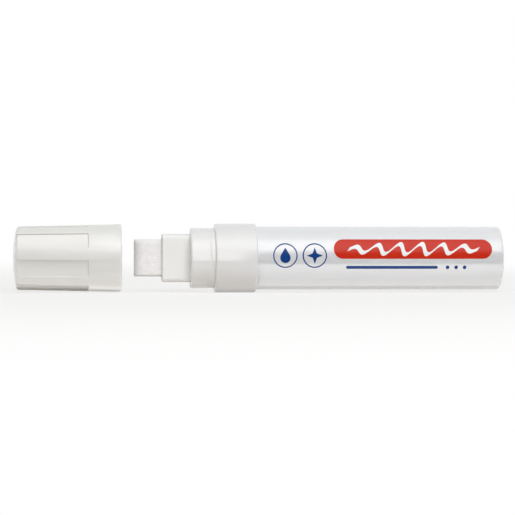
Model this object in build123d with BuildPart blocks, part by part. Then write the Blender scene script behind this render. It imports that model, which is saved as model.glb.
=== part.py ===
"""Liquid chalk marker with a broad flat nib, lying on a table with its cap pulled off.

Millimetres, +Z up. The marker lies along X with its nib towards -X, and the cap lies in line
in front of the nib. The origin is on the table, under the middle of cap and marker together.
"""

import os
from math import cos, hypot, pi, radians, sin, sqrt, tan

from build123d import *

os.makedirs("parts", exist_ok=True)

# Lengths that show along the axis, from nib to tail
NIB_REACH = 11.3
MOUTH_REACH = 11.3
NECK_REACH = 9.9
COLLAR_LENGTH = 16.9
BARREL_REACH = 100.4

# Nib and mouthpiece
NIB_WIDTH = 15.0
NIB_THICKNESS = 5.0
NIB_CORNER = 1.5
NIB_NOSE = 3.8
NIB_TIP_FLAT = 1.2
NIB_PLAY = 0.15
MOUTH_SIDE_WALL = 2.0
MOUTH_FACE_WALL = 2.1
MOUTH_CORNER = 1.7
MOUTH_EDGE = 0.5
MOUTH_FLANGE = 2.0
MOUTH_MARGIN = 0.1

# Walls and fits, from the mouthpiece outwards
CHAMBER_PLAY = 0.05
SEAT_STEP = 0.4
SKIRT_WALL = 0.7
SKIRT_PLAY = 0.05
BARREL_WALL = 1.3
BARREL_RECESS = 0.15
COLLAR_PLAY = 0.05
COLLAR_WALL = 1.3
NECK_SETBACK = 0.55

# Neck, gasket, collar and barrel along the axis
NECK_FACE = 2.0
NECK_EDGE = 0.8
NECK_FLANGE = 1.6
NECK_TAIL = 1.0
GASKET_THICKNESS = 0.8
COLLAR_LIP = 1.8
COLLAR_EDGE = 0.7
TAIL_WALL = 1.6
TAIL_EDGE = 0.8
TANK_CORNER = 1.5

# Snap features: a bead on the barrel in the collar, and one in the cap that meets a neck groove
BEAD_BACK = 5.5
BEAD_WIDTH = 1.6
BEAD_HEIGHT = 0.25
SNAP_FRONT = 1.8
SNAP_WIDTH = 1.0
SNAP_HEIGHT = 0.18

# Cap
CAP_GAP = 5.1
CAP_STOP = 0.1
CAP_HEADROOM = 5.4
CAP_PLAY = 0.25
CAP_WALL = 1.2
CAP_TAPER = 0.85
CAP_CROWN = 1.6
CAP_END_WALL = 1.8
CAP_END_EDGE = 1.0
CAP_RIM_EDGE = 0.9
CAP_LEAD_IN = 0.35
PANEL_COUNT = 7
PANEL_FIRST = -34.0
PANEL_WIDTH = 7.0
PANEL_LENGTH = 28.4
PANEL_DEPTH = 0.6
PANEL_END_LEAN = 20.0
PANEL_BEVEL = 0.5

# Inner cap and its seal
INNER_PLAY = 0.2
INNER_WALL = 0.6
INNER_SEAT_PLAY = 0.05
INNER_FLANGE = 1.2
INNER_ROOM = 1.6
INNER_FLOOR = 0.8
SEAL_THICKNESS = 1.0
SEAL_GAP = 0.1

# Nib carrier and travel
NIB_TRAVEL = 2.0
CARRIER_STOP = 0.2
CARRIER_GRIP = 4.0
CARRIER_PLAY = 0.05
CARRIER_WALL = 1.0
CARRIER_FLOOR = 1.2
BOSS_DIAMETER = 4.8
BOSS_LENGTH = 1.6
FEED_DIAMETER = 2.0
FEED_SPACING = 9.0

# Valve
STEM_GAP = 0.05
STEM_DIAMETER = 3.8
ORIFICE_PLAY = 1.1
SEAT_ROOM = 0.4
SEAT_THICKNESS = 3.0
SEAT_PLAY = 0.05
RING_WIRE = 1.4
RING_PLAY = 0.05
VALVE_SEAL_PLAY = 0.05
VALVE_SEAL_WIDTH = 2.45
VALVE_SEAL_THICKNESS = 0.8
HEAD_MARGIN = 0.4
HEAD_THICKNESS = 1.4
GUIDE_DIAMETER = 3.0
GUIDE_PLAY = 0.1
GUIDE_TAIL = 0.5
CAGE_FLANGE = 1.5
CAGE_WALL = 1.0
CAGE_ROOM = 1.4
CAGE_FLOOR = 1.2
WINDOW_COUNT = 4
WINDOW_WIDTH = 4.0
WINDOW_MARGIN = 1.2
SPRING_LENGTH = 8.1
SPRING_WIRE = 0.6
SPRING_TURNS = 5
SPRING_INSET = 1.1

# Mixing balls
BALL_DIAMETER = 8.0
BALL_PLAY = 0.05
BALL_PAIR_GAP = 0.3
BALL_BACK = 45.0

# Radii, worked out from the nib outwards
mouth_width = NIB_WIDTH + 2 * (NIB_PLAY + MOUTH_SIDE_WALL)
mouth_thickness = NIB_THICKNESS + 2 * (NIB_PLAY + MOUTH_FACE_WALL)
mouth_reach = MOUTH_CORNER + hypot(mouth_width / 2 - MOUTH_CORNER, mouth_thickness / 2 - MOUTH_CORNER)
mouth_flange_radius = mouth_reach + MOUTH_MARGIN
chamber_radius = mouth_flange_radius + CHAMBER_PLAY
seat_bore = chamber_radius + SEAT_STEP
skirt_radius = seat_bore + SKIRT_WALL
tank_radius = skirt_radius + SKIRT_PLAY
barrel_radius = tank_radius + BARREL_WALL
recess_radius = barrel_radius - BARREL_RECESS
neck_radius = barrel_radius - NECK_SETBACK
collar_bore = recess_radius + COLLAR_PLAY
collar_radius = collar_bore + COLLAR_WALL
cap_bore = neck_radius + CAP_PLAY
cap_rim_radius = cap_bore + CAP_WALL
cap_end_radius = cap_rim_radius - CAP_TAPER
inner_bore = mouth_reach + INNER_PLAY
inner_radius = inner_bore + INNER_WALL
liner_bore = inner_radius + INNER_SEAT_PLAY

# Places along X, from the closed end of the cap to the tail of the barrel
front_length = NIB_REACH + MOUTH_REACH + NECK_REACH
pen_length = front_length + COLLAR_LENGTH + BARREL_REACH
cap_depth = front_length - CAP_STOP + INNER_ROOM + INNER_FLOOR + CAP_HEADROOM
cap_length = cap_depth + CAP_END_WALL + CAP_CROWN
x_cap_end = -(cap_length + CAP_GAP + pen_length) / 2
x_cap_side = x_cap_end + CAP_CROWN
x_cap_floor = x_cap_side + CAP_END_WALL
x_cap_rim = x_cap_end + cap_length
x_nib = x_cap_rim + CAP_GAP
x_mouth = x_nib + NIB_REACH
x_neck = x_mouth + MOUTH_REACH
x_collar = x_neck + NECK_REACH
x_collar_rear = x_collar + COLLAR_LENGTH
x_tail = x_collar_rear + BARREL_REACH
x_flange = x_collar + COLLAR_LIP
x_gasket = x_flange + NECK_FLANGE
x_barrel = x_gasket + GASKET_THICKNESS
x_chamber = x_neck + NECK_FACE
x_carrier = x_chamber + MOUTH_FLANGE + CARRIER_STOP
x_nib_rear = x_carrier + CARRIER_GRIP
x_boss = x_nib_rear + CARRIER_FLOOR
x_stem = x_boss + BOSS_LENGTH + STEM_GAP
x_seat = x_boss + BOSS_LENGTH + NIB_TRAVEL + SEAT_ROOM
x_valve_seal = x_seat + SEAT_THICKNESS
x_head = x_valve_seal + VALVE_SEAL_THICKNESS
x_spring = x_head + HEAD_THICKNESS
x_cage_floor = x_spring + SPRING_LENGTH
x_cage_rear = x_cage_floor + CAGE_FLOOR
x_neck_rear = x_valve_seal + CAGE_FLANGE + NECK_TAIL
x_ball = x_cage_rear + BALL_BACK

# The travel that closes the cap, and the places in the cap that meet the neck once it is closed
cap_travel = x_collar - x_cap_rim - CAP_STOP
x_seal = x_neck - cap_travel - SEAL_GAP - SEAL_THICKNESS
x_liner = x_seal - INNER_FLANGE
x_inner_floor = x_nib - cap_travel - INNER_ROOM

# The shared axis, and the half plane that every turned profile is drawn in, as (x, radius)
axis_height = max(collar_radius, cap_rim_radius)
PEN_AXIS = Axis((0, 0, axis_height), (1, 0, 0))
AXIAL = Plane(origin=(0, 0, axis_height), x_dir=(1, 0, 0), z_dir=(0, -1, 0))


def across(x):
    """Plane square to the axis at x: its own x runs along Y and its own y along Z."""
    return Plane(origin=(x, 0, axis_height), x_dir=(0, 1, 0), z_dir=(1, 0, 0))


def outward(angle):
    """Unit vector square to the axis: 0 degrees is -Y, towards the viewer, and 90 is down."""
    return Vector(0, -cos(radians(angle)), -sin(radians(angle)))


# Barrel: the tank, closed at its tail, with a recess and a snap bead under the collar
bead_middle = x_barrel + BEAD_BACK
with BuildPart() as barrel:
    with BuildSketch(AXIAL) as barrel_profile:
        with BuildLine():
            Polyline(
                (x_tail, 0),
                (x_tail, barrel_radius),
                (x_collar_rear, barrel_radius),
                (x_collar_rear, recess_radius),
                (x_barrel, recess_radius),
                (x_barrel, tank_radius),
                (x_tail - TAIL_WALL, tank_radius),
                (x_tail - TAIL_WALL, 0),
                close=True,
            )
        make_face()
        corners = barrel_profile.vertices()
        tail_corner = corners.group_by(Axis.X)[-1].sort_by(Axis.Y)[-1]
        tank_corner = corners.group_by(Axis.X)[-2].sort_by(Axis.Y)[-1]
        fillet(tail_corner, TAIL_EDGE)
        fillet(tank_corner, TANK_CORNER)
    revolve(axis=PEN_AXIS)
    with BuildSketch(AXIAL):
        with BuildLine():
            Polyline(
                (bead_middle - BEAD_WIDTH / 2, recess_radius - BEAD_HEIGHT),
                (bead_middle - BEAD_WIDTH / 2, recess_radius),
                (bead_middle, recess_radius + BEAD_HEIGHT),
                (bead_middle + BEAD_WIDTH / 2, recess_radius),
                (bead_middle + BEAD_WIDTH / 2, recess_radius - BEAD_HEIGHT),
                close=True,
            )
        make_face()
    revolve(axis=PEN_AXIS)
barrel.part.label = "barrel"
export_step(barrel.part, "parts/barrel.step")

# Collar: the ring that clips over the barrel and traps the flange of the neck
with BuildPart() as collar:
    with BuildSketch(AXIAL) as collar_profile:
        with BuildLine():
            Polyline(
                (x_collar, neck_radius + COLLAR_PLAY),
                (x_collar, collar_radius),
                (x_collar_rear, collar_radius),
                (x_collar_rear, collar_bore),
                (x_flange, collar_bore),
                (x_flange, neck_radius + COLLAR_PLAY),
                close=True,
            )
        make_face()
        fillet(collar_profile.vertices().group_by(Axis.Y)[-1], COLLAR_EDGE)
    revolve(axis=PEN_AXIS)
    with BuildSketch(AXIAL):
        with BuildLine():
            Polyline(
                (bead_middle - BEAD_WIDTH / 2 - COLLAR_PLAY, collar_bore),
                (bead_middle, collar_bore + BEAD_HEIGHT),
                (bead_middle + BEAD_WIDTH / 2 + COLLAR_PLAY, collar_bore),
                close=True,
            )
        make_face()
    revolve(axis=PEN_AXIS, mode=Mode.SUBTRACT)
collar.part.label = "collar"
export_step(collar.part, "parts/collar.step")

# Neck: the cap slides over it, and its chamber takes mouthpiece, nib carrier and valve
flange_radius = recess_radius
snap_middle = x_collar - SNAP_FRONT
with BuildPart() as neck:
    with BuildSketch(AXIAL) as neck_profile:
        with BuildLine():
            Polyline(
                (x_neck, 0),
                (x_neck, neck_radius),
                (x_flange, neck_radius),
                (x_flange, flange_radius),
                (x_gasket, flange_radius),
                (x_gasket, skirt_radius),
                (x_neck_rear, skirt_radius),
                (x_neck_rear, seat_bore),
                (x_seat, seat_bore),
                (x_seat, chamber_radius),
                (x_chamber, chamber_radius),
                (x_chamber, 0),
                close=True,
            )
        make_face()
        fillet(neck_profile.vertices().group_by(Axis.X)[0].sort_by(Axis.Y)[-1], NECK_EDGE)
    revolve(axis=PEN_AXIS)
    with BuildSketch(AXIAL):
        with BuildLine():
            Polyline(
                (snap_middle - SNAP_WIDTH / 2, neck_radius),
                (snap_middle, neck_radius - SNAP_HEIGHT),
                (snap_middle + SNAP_WIDTH / 2, neck_radius),
                close=True,
            )
        make_face()
    revolve(axis=PEN_AXIS, mode=Mode.SUBTRACT)
    with BuildSketch(across(x_neck)):
        RectangleRounded(
            mouth_thickness + 2 * COLLAR_PLAY,
            mouth_width + 2 * COLLAR_PLAY,
            MOUTH_CORNER + COLLAR_PLAY,
        )
    extrude(amount=NECK_FACE, mode=Mode.SUBTRACT)
neck.part.label = "neck"
export_step(neck.part, "parts/neck.step")

# Neck gasket: flat soft ring between the flange of the neck and the rim of the barrel
with BuildPart() as neck_gasket:
    with BuildSketch(across(x_gasket)):
        Circle(recess_radius)
        Circle(tank_radius, mode=Mode.SUBTRACT)
    extrude(amount=GASKET_THICKNESS)
neck_gasket.part.label = "neck_gasket"
export_step(neck_gasket.part, "parts/neck_gasket.step")

# Mouthpiece: the block that guides the nib, held in the neck by its round flange
with BuildPart() as mouthpiece:
    with BuildSketch(across(x_mouth)):
        RectangleRounded(mouth_thickness, mouth_width, MOUTH_CORNER)
    extrude(amount=MOUTH_REACH + NECK_FACE)
    fillet(mouthpiece.faces().sort_by(Axis.X)[0].edges(), MOUTH_EDGE)
    with BuildSketch(across(x_chamber)):
        Circle(mouth_flange_radius)
    extrude(amount=MOUTH_FLANGE)
    with BuildSketch(across(x_mouth)):
        RectangleRounded(
            NIB_THICKNESS + 2 * NIB_PLAY, NIB_WIDTH + 2 * NIB_PLAY, NIB_CORNER + NIB_PLAY
        )
    extrude(amount=MOUTH_REACH + NECK_FACE + MOUTH_FLANGE, mode=Mode.SUBTRACT)
mouthpiece.part.label = "mouthpiece"
export_step(mouthpiece.part, "parts/mouthpiece.step")

# Nib: a felt bar with rounded long edges and a rounded chisel nose
with BuildPart() as nib:
    with BuildSketch(across(x_nib)):
        RectangleRounded(NIB_THICKNESS, NIB_WIDTH, NIB_CORNER)
    extrude(amount=x_nib_rear - x_nib)
    with BuildSketch(Plane.XY.offset(axis_height)):
        with BuildLine():
            near_nose = TangentArc(
                (x_nib + NIB_NOSE, -NIB_THICKNESS / 2), (x_nib, -NIB_TIP_FLAT / 2), tangent=(-1, 0)
            )
            far_nose = TangentArc(
                (x_nib + NIB_NOSE, NIB_THICKNESS / 2), (x_nib, NIB_TIP_FLAT / 2), tangent=(-1, 0)
            )
            Line(near_nose @ 1, far_nose @ 1)
            Polyline(
                near_nose @ 0,
                (x_nib_rear, -NIB_THICKNESS / 2),
                (x_nib_rear, NIB_THICKNESS / 2),
                far_nose @ 0,
            )
        make_face()
    extrude(amount=NIB_WIDTH / 2, both=True, mode=Mode.INTERSECT)
nib.part.label = "nib"
export_step(nib.part, "parts/nib.step")

# Nib carrier: the shoe on the rear end of the nib, whose boss pushes the valve stem
carrier_thickness = NIB_THICKNESS + 2 * (CARRIER_PLAY + CARRIER_WALL)
carrier_width = NIB_WIDTH + 2 * (CARRIER_PLAY + CARRIER_WALL)
with BuildPart() as nib_carrier:
    with BuildSketch(across(x_carrier)):
        RectangleRounded(carrier_thickness, carrier_width, NIB_CORNER + CARRIER_WALL)
    extrude(amount=CARRIER_GRIP + CARRIER_FLOOR)
    with BuildSketch(across(x_carrier)):
        RectangleRounded(
            NIB_THICKNESS + 2 * CARRIER_PLAY, NIB_WIDTH + 2 * CARRIER_PLAY, NIB_CORNER + CARRIER_PLAY
        )
    extrude(amount=CARRIER_GRIP, mode=Mode.SUBTRACT)
    with BuildSketch(across(x_boss)):
        Circle(BOSS_DIAMETER / 2)
    extrude(amount=BOSS_LENGTH)
    with BuildSketch(across(x_nib_rear)):
        with GridLocations(0, FEED_SPACING, 1, 2):
            Circle(FEED_DIAMETER / 2)
    extrude(amount=CARRIER_FLOOR, mode=Mode.SUBTRACT)
nib_carrier.part.label = "nib_carrier"
export_step(nib_carrier.part, "parts/nib_carrier.step")

# Valve seat: the disc with the ink opening, grooved for its O-ring
orifice_radius = STEM_DIAMETER / 2 + ORIFICE_PLAY
seat_radius = seat_bore - SEAT_PLAY
ring_middle = x_seat + SEAT_THICKNESS / 2
ring_radius = seat_radius - RING_WIRE / 2
with BuildPart() as valve_seat:
    with BuildSketch(across(x_seat)):
        Circle(seat_radius)
        Circle(orifice_radius, mode=Mode.SUBTRACT)
    extrude(amount=SEAT_THICKNESS)
    with BuildSketch(AXIAL):
        with Locations((ring_middle, seat_radius)):
            Rectangle(RING_WIRE + 2 * RING_PLAY, 2 * (RING_WIRE + RING_PLAY))
    revolve(axis=PEN_AXIS, mode=Mode.SUBTRACT)
valve_seat.part.label = "valve_seat"
export_step(valve_seat.part, "parts/valve_seat.step")

# Seat O-ring: seals the valve seat in the neck
with BuildPart() as seat_o_ring:
    with BuildSketch(AXIAL):
        with Locations((ring_middle, ring_radius)):
            Circle(RING_WIRE / 2)
    revolve(axis=PEN_AXIS)
seat_o_ring.part.label = "seat_o_ring"
export_step(seat_o_ring.part, "parts/seat_o_ring.step")

# Valve seal: soft washer on the stem that closes the ink opening
valve_seal_bore = STEM_DIAMETER / 2 + VALVE_SEAL_PLAY
valve_seal_radius = valve_seal_bore + VALVE_SEAL_WIDTH
with BuildPart() as valve_seal:
    with BuildSketch(across(x_valve_seal)):
        Circle(valve_seal_radius)
        Circle(valve_seal_bore, mode=Mode.SUBTRACT)
    extrude(amount=VALVE_SEAL_THICKNESS)
valve_seal.part.label = "valve_seal"
export_step(valve_seal.part, "parts/valve_seal.step")

# Valve stem: push rod, closing head and guide rod in one turned piece
head_radius = valve_seal_radius + HEAD_MARGIN
with BuildPart() as valve_stem:
    with BuildSketch(across(x_stem)):
        Circle(STEM_DIAMETER / 2)
    extrude(amount=x_head - x_stem)
    with BuildSketch(across(x_head)):
        Circle(head_radius)
    extrude(amount=HEAD_THICKNESS)
    with BuildSketch(across(x_spring)):
        Circle(GUIDE_DIAMETER / 2)
    extrude(amount=x_cage_rear + GUIDE_TAIL - x_spring)
valve_stem.part.label = "valve_stem"
export_step(valve_stem.part, "parts/valve_stem.step")

# Valve cage: the windowed cup behind the seat that guides the stem and backs the spring
cage_bore = head_radius + CAGE_ROOM
cage_radius = cage_bore + CAGE_WALL
window_start = x_valve_seal + CAGE_FLANGE + WINDOW_MARGIN
window_end = x_cage_floor - WINDOW_MARGIN
window_planes = [
    Plane(
        origin=((window_start + window_end) / 2, 0, axis_height),
        x_dir=(1, 0, 0),
        z_dir=outward(number * 360 / WINDOW_COUNT),
    )
    for number in range(WINDOW_COUNT)
]
with BuildPart() as valve_cage:
    with BuildSketch(AXIAL):
        with BuildLine():
            Polyline(
                (x_valve_seal, cage_bore),
                (x_valve_seal, seat_radius),
                (x_valve_seal + CAGE_FLANGE, seat_radius),
                (x_valve_seal + CAGE_FLANGE, cage_radius),
                (x_cage_rear, cage_radius),
                (x_cage_rear, GUIDE_DIAMETER / 2 + GUIDE_PLAY),
                (x_cage_floor, GUIDE_DIAMETER / 2 + GUIDE_PLAY),
                (x_cage_floor, cage_bore),
                close=True,
            )
        make_face()
    revolve(axis=PEN_AXIS)
    with BuildSketch(*window_planes):
        Rectangle(window_end - window_start, WINDOW_WIDTH)
    extrude(amount=cage_radius + CAGE_WALL, mode=Mode.SUBTRACT)
valve_cage.part.label = "valve_cage"
export_step(valve_cage.part, "parts/valve_cage.step")

# Valve spring: one tube on a helix, laid as pairs of arcs, a quarter turn to each pair
spring_radius = head_radius - SPRING_INSET
spring_pitch = (SPRING_LENGTH - SPRING_WIRE) / SPRING_TURNS


def spring_point(turn):
    """Point on the middle of the wire after so many turns."""
    angle = 2 * pi * turn
    x = x_spring + SPRING_WIRE / 2 + spring_pitch * turn
    return Vector(x, spring_radius * cos(angle), axis_height + spring_radius * sin(angle))


def spring_heading(turn):
    """Unit vector along the wire after so many turns."""
    angle = 2 * pi * turn
    rise = spring_pitch / (2 * pi)
    return Vector(rise, -spring_radius * sin(angle), spring_radius * cos(angle)).normalized()


with BuildPart() as valve_spring:
    with BuildLine() as spring_path:
        for quarter in range(4 * SPRING_TURNS):
            start = spring_point(quarter / 4)
            end = spring_point((quarter + 1) / 4)
            start_heading = spring_heading(quarter / 4)
            end_heading = spring_heading((quarter + 1) / 4)
            span = end - start
            along = span.dot(start_heading + end_heading)
            bend = 1 - start_heading.dot(end_heading)
            reach = (sqrt(along**2 + 2 * bend * span.dot(span)) - along) / (2 * bend)
            start_handle = start + start_heading * reach
            end_handle = end - end_heading * reach
            meeting = (start_handle + end_handle) * 0.5
            TangentArc(start, meeting, tangent=start_heading)
            TangentArc(meeting, end, tangent=end_handle - start_handle)
    with BuildSketch(Plane(origin=spring_path.line @ 0, z_dir=spring_path.line % 0)):
        Circle(SPRING_WIRE / 2)
    sweep(path=spring_path.line)
valve_spring.part.label = "valve_spring"
export_step(valve_spring.part, "parts/valve_spring.step")

samples = [spring_point(number / 36) for number in range(36 * SPRING_TURNS + 1)]
least_gap = min(
    (samples[later] - samples[first]).length - SPRING_WIRE
    for first in range(len(samples))
    for later in range(first + 18, len(samples))
)
print(f"valve spring: least gap between turns {least_gap:.2f} mm")

# Mixing balls: two steel balls side by side on the bottom of the tank
ball_radius = BALL_DIAMETER / 2
ball_circle = tank_radius - ball_radius - BALL_PLAY
ball_side = ball_radius + BALL_PAIR_GAP / 2
ball_drop = sqrt(ball_circle**2 - ball_side**2)
for number, side in enumerate((-1, 1), start=1):
    with BuildPart(Plane(origin=(x_ball, side * ball_side, axis_height - ball_drop))) as mixing_ball:
        Sphere(ball_radius)
    mixing_ball.part.label = f"mixing_ball_{number}"
    export_step(mixing_ball.part, f"parts/mixing_ball_{number}.step")

# Cap shell: tapered, with flat sunk finger panels that run out at a bevel on the closed end
cap_slope = CAP_TAPER / (x_cap_rim - x_cap_side)
panel_sagitta = cap_end_radius - sqrt(cap_end_radius**2 - (PANEL_WIDTH / 2) ** 2)
panel_floor = cap_end_radius - panel_sagitta - PANEL_DEPTH
panel_overrun = 2 * CAP_CROWN
panel_rise = 2 * PANEL_DEPTH + panel_sagitta
bevel_height = PANEL_BEVEL * cap_slope
floor_height = PANEL_LENGTH * cap_slope
panel_angles = [PANEL_FIRST + number * 360 / PANEL_COUNT for number in range(PANEL_COUNT)]
panel_planes = [
    Plane(
        origin=Vector(x_cap_side, 0, axis_height) + outward(angle) * panel_floor,
        x_dir=(1, 0, 0),
        z_dir=Vector(1, 0, 0).cross(outward(angle)),
    )
    for angle in panel_angles
]
bead_in_cap = snap_middle - cap_travel
with BuildPart() as cap_shell:
    with BuildSketch(AXIAL) as cap_profile:
        with BuildLine():
            crown = TangentArc((x_cap_end, 0), (x_cap_side, cap_end_radius), tangent=(0, 1))
            Polyline(
                crown @ 1,
                (x_cap_rim, cap_rim_radius),
                (x_cap_rim, cap_bore),
                (x_liner, cap_bore),
                (x_liner, liner_bore),
                (x_cap_floor, liner_bore),
                (x_cap_floor, 0),
                crown @ 0,
            )
        make_face()
        corners = cap_profile.vertices()
        rim_corners = corners.group_by(Axis.X)[-1].sort_by(Axis.Y)
        end_corner = corners.group_by(Axis.X)[1][0]
        fillet(end_corner, CAP_END_EDGE)
        fillet(rim_corners[-1], CAP_RIM_EDGE)
        chamfer(rim_corners[0], CAP_LEAD_IN)
    revolve(axis=PEN_AXIS)
    with BuildSketch(AXIAL):
        with BuildLine():
            Polyline(
                (bead_in_cap - SNAP_WIDTH / 2, cap_bore + SNAP_HEIGHT),
                (bead_in_cap - SNAP_WIDTH / 2, cap_bore),
                (bead_in_cap, cap_bore - SNAP_HEIGHT),
                (bead_in_cap + SNAP_WIDTH / 2, cap_bore),
                (bead_in_cap + SNAP_WIDTH / 2, cap_bore + SNAP_HEIGHT),
                close=True,
            )
        make_face()
    revolve(axis=PEN_AXIS)
    with BuildSketch(*panel_planes):
        with BuildLine():
            Polyline(
                (PANEL_BEVEL, bevel_height),
                (PANEL_LENGTH, floor_height),
                (PANEL_LENGTH + panel_rise * tan(radians(PANEL_END_LEAN)), floor_height + panel_rise),
                (-panel_overrun, floor_height + panel_rise),
                (-panel_overrun, bevel_height - PANEL_BEVEL - panel_overrun),
                close=True,
            )
        make_face()
    extrude(amount=PANEL_WIDTH / 2, both=True, mode=Mode.SUBTRACT)
cap_shell.part.label = "cap_shell"
export_step(cap_shell.part, "parts/cap_shell.step")

# Inner cap: the flanged cup in the cap that closes over nib and mouthpiece
with BuildPart() as inner_cap:
    with BuildSketch(AXIAL):
        with BuildLine():
            Polyline(
                (x_inner_floor - INNER_FLOOR, 0),
                (x_inner_floor - INNER_FLOOR, inner_radius),
                (x_liner, inner_radius),
                (x_liner, cap_bore - INNER_SEAT_PLAY),
                (x_seal, cap_bore - INNER_SEAT_PLAY),
                (x_seal, inner_bore),
                (x_inner_floor, inner_bore),
                (x_inner_floor, 0),
                close=True,
            )
        make_face()
    revolve(axis=PEN_AXIS)
inner_cap.part.label = "inner_cap"
export_step(inner_cap.part, "parts/inner_cap.step")

# Cap seal: soft ring on the inner cap that meets the front of the neck
with BuildPart() as cap_seal:
    with BuildSketch(across(x_seal)):
        Circle(cap_bore - INNER_SEAT_PLAY)
        Circle(inner_bore, mode=Mode.SUBTRACT)
    extrude(amount=SEAL_THICKNESS)
cap_seal.part.label = "cap_seal"
export_step(cap_seal.part, "parts/cap_seal.step")
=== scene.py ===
# %% [markdown]
# # A liquid chalk marker
# The marker lies on a white table with its cap pulled off in line. The CAD model gives every
# piece its size and place. This script remodels the pieces that need softer or finer shapes than
# the CAD has, gives all of them their real surfaces, and sets up a small photo studio. Lengths
# are metres in the CAD frame: X runs from nib to tail, Z is up, the camera stands on the -Y side.

# %% Load the CAD frame
import math

import bmesh
import bpy
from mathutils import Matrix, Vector


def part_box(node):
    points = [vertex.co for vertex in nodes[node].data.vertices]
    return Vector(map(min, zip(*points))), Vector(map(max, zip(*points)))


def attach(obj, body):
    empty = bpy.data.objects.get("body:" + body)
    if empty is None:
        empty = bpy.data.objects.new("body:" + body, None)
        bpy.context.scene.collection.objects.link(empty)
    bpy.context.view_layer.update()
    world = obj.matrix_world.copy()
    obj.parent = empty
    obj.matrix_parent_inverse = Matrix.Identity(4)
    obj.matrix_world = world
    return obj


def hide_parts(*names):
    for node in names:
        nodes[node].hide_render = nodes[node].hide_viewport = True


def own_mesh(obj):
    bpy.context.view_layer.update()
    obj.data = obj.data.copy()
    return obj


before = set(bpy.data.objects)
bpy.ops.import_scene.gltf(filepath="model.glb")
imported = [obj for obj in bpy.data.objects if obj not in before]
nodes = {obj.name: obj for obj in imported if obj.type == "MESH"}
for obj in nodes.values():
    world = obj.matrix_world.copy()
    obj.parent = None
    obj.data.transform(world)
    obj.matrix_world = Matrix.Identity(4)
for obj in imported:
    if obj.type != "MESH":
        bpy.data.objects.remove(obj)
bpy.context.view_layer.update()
MM = 0.001
AXIS_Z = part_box("collar")[1].z / 2
print(len(nodes), "CAD nodes; the axis is", round(AXIS_Z / MM, 2), "mm above the table")

# %% [markdown]
# ## Camera
# The photograph shows the marker from the side, almost level, with the lens in front of the cap,
# so the round tail end bulges more than the rim of the cap does. A long lens from most of a metre
# away gives that. The camera stands a little above the table, and a small roll brings the marker
# back to level in the picture.

# %% Camera
SENSOR_WIDTH = 36
LENS = 140.4
camera_place = Vector((-0.0775, -0.815, 0.040))
camera_aim = Vector((-0.0002, 0.0, 0.0142))
gaze = camera_aim - camera_place
level_roll = math.atan2(-gaze.x * gaze.z, gaze.length_squared)
bpy.ops.object.select_all(action="DESELECT")
bpy.ops.object.camera_add(location=camera_place)
camera = bpy.context.object
camera.rotation_euler = gaze.to_track_quat("-Z", "Y").to_euler()
camera.rotation_euler.rotate_axis("Z", level_roll)
camera.data.sensor_width = SENSOR_WIDTH
camera.data.lens = LENS
bpy.context.scene.camera = camera
bpy.context.scene.view_settings.view_transform = "Standard"
roll_degrees = round(math.degrees(level_roll), 2)
print("camera", round(gaze.length, 3), "m away, rolled", roll_degrees, "degrees")

# %% [markdown]
# ## Colours and shader nodes
# Colours are written as sRGB hex, as a colour picker shows them, but a shader socket takes linear
# light, so one function converts them. Another small function adds a shader node, gives it its
# settings and links what feeds it. A socket goes by its name, or by its number where a node has
# several of one name. Each material starts from an emptied tree of nodes.


# %% Colour and node helpers
def linear(code):
    """Turns an sRGB hex colour into the linear colour that a shader socket takes."""
    parts = [int(code[start : start + 2], 16) / 255 for start in (0, 2, 4)]
    return [p / 12.92 if p <= 0.04045 else ((p + 0.055) / 1.055) ** 2.4 for p in parts] + [1.0]


def add_node(tree, kind, settings=None, links=None):
    """Adds a node, sets its properties or its sockets, and links earlier outputs to it."""
    node = tree.nodes.new(kind)
    for key, value in (settings or {}).items():
        if isinstance(key, str) and hasattr(node, key):
            setattr(node, key, value)
        else:
            node.inputs[key].default_value = value
    for key, source in (links or {}).items():
        tree.links.new(source, node.inputs[key])
    return node


def empty_tree(owner):
    """Turns on the nodes of a material or world and hands back its tree, emptied."""
    owner.use_nodes = True
    owner.node_tree.nodes.clear()
    return owner.node_tree


WHITE = linear("FFFFFF")
print("white is", WHITE, "in linear light")

# %% [markdown]
# ## Studio
# The photograph has a pure white ground. A sheet of white paper lies under the marker and keeps
# its soft shadow. Rays that come straight from the camera, a reflection or glass see it mixed
# with plain white, more so further away, and they see the world as white too. All other rays meet
# a dimmer world, so the white ground adds no light of its own to the marker.


# %% Paper and world
def ground_rays(tree):
    """Socket that is 1 for rays that show the background: from the camera, gloss or glass."""
    path = add_node(tree, "ShaderNodeLightPath")
    direct = add_node(
        tree,
        "ShaderNodeMath",
        {"operation": "MAXIMUM"},
        {0: path.outputs["Is Camera Ray"], 1: path.outputs["Is Glossy Ray"]},
    )
    every = add_node(
        tree,
        "ShaderNodeMath",
        {"operation": "MAXIMUM"},
        {0: direct.outputs[0], 1: path.outputs["Is Transmission Ray"]},
    )
    return every.outputs[0]


PAPER_SIZE = 6.0
SHADOW_REACH = 0.08
SHADOW_WHITE = 0.74
WHITE_REACH = 0.45
WORLD_GLOW = 0.23
bpy.ops.object.select_all(action="DESELECT")
bpy.ops.mesh.primitive_plane_add(size=PAPER_SIZE)
paper = bpy.context.object
paper.name = "paper_ground"
paper_finish = bpy.data.materials.new("matt white paper")
tree = empty_tree(paper_finish)
place = add_node(tree, "ShaderNodeTexCoord").outputs["Object"]
away = add_node(tree, "ShaderNodeVectorMath", {"operation": "LENGTH"}, {0: place})
fade = add_node(
    tree,
    "ShaderNodeMapRange",
    {"interpolation_type": "SMOOTHSTEP", 1: SHADOW_REACH, 2: WHITE_REACH, 3: SHADOW_WHITE, 4: 1.0},
    {0: away.outputs["Value"]},
)
share = add_node(
    tree, "ShaderNodeMath", {"operation": "MULTIPLY"}, {0: ground_rays(tree), 1: fade.outputs[0]}
)
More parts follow.
